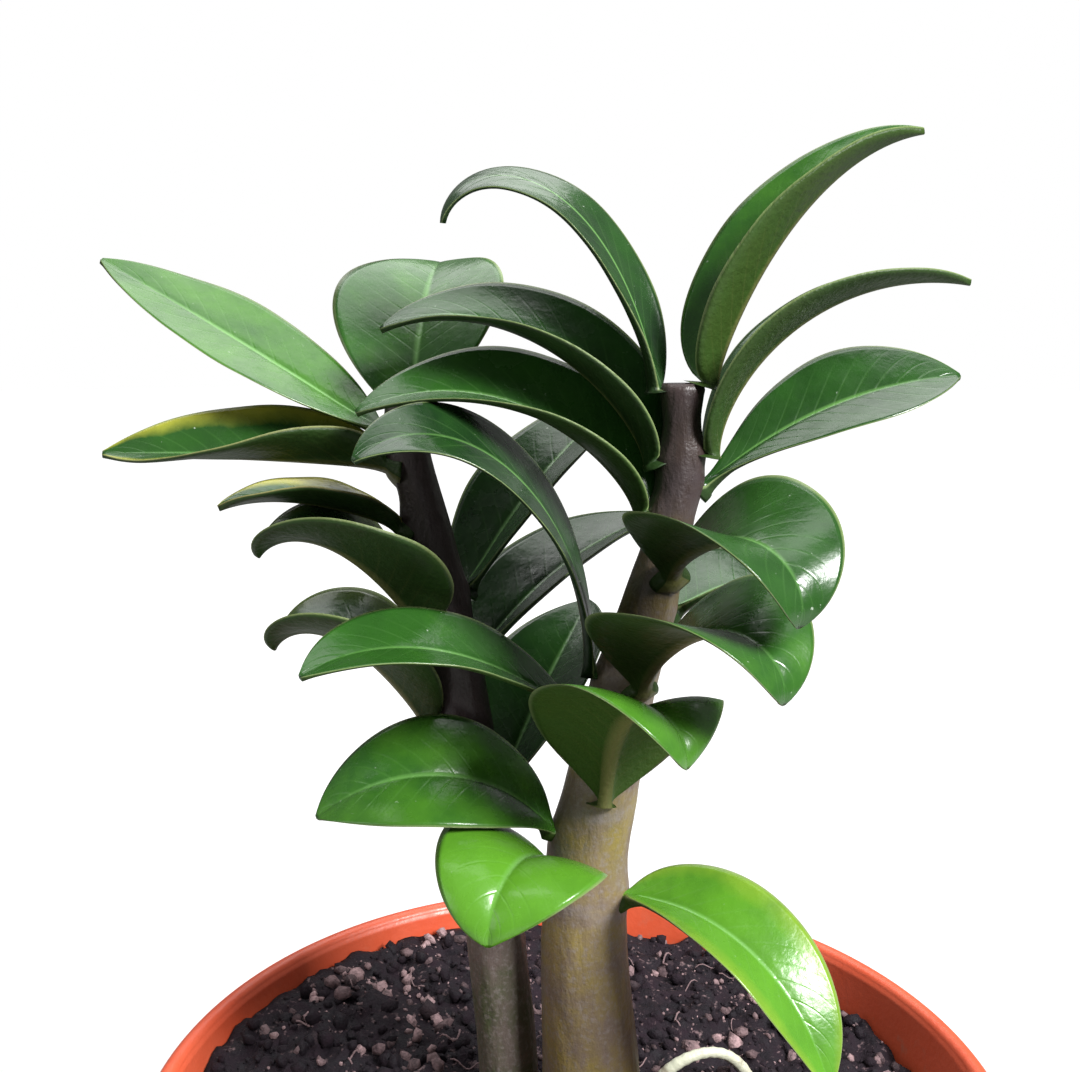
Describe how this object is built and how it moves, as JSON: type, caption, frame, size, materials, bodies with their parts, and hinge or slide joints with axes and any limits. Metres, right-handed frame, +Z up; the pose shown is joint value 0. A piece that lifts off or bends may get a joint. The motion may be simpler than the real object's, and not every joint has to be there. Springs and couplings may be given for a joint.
{
  "type": "potted zz plant",
  "caption": "Small ZZ plant with two stout stems of glossy oval leaflets, standing in soil in a round terracotta-coloured plastic nursery pot.",
  "frame": {"origin": "centre of the flat boss under the pot, on the surface that it stands on", "axes": "+Z up; the plant's open side, from which the low front leaflets are seen, faces -Y; +X to the right as seen from there"},
  "size_m": [0.1527, 0.15, 0.2919],
  "materials": {
    "terracotta_plastic": "smooth satin moulded plastic",
    "potting_soil": "rough, damp, crumbly",
    "stem_skin": "smooth waxy skin with mottling",
    "rhizome_skin": "dull tuber skin",
    "root_skin": "pale smooth root",
    "leaf": "glossy waxy leaf"
  },
  "bodies": {
    "root": {"pot": "terracotta_plastic", "soil": "potting_soil", "right_stem": "stem_skin", "left_stem": "stem_skin", "rhizome": "rhizome_skin", "surface_root": "root_skin", "right_leaflet_01": "leaf", "right_leaflet_02": "leaf", "right_leaflet_03": "leaf", "right_leaflet_04": "leaf", "right_leaflet_05": "leaf", "right_leaflet_06": "leaf", "right_leaflet_07": "leaf", "right_leaflet_08": "leaf", "right_leaflet_09": "leaf", "right_leaflet_10": "leaf", "right_leaflet_11": "leaf", "right_leaflet_12": "leaf", "right_leaflet_13": "leaf", "right_leaflet_14": "leaf", "right_leaflet_15": "leaf", "left_leaflet_01": "leaf", "left_leaflet_02": "leaf", "left_leaflet_03": "leaf", "left_leaflet_04": "leaf", "left_leaflet_05": "leaf", "left_leaflet_06": "leaf", "left_leaflet_07": "leaf", "left_leaflet_08": "leaf", "left_leaflet_09": "leaf"}
  },
  "joints": []
}
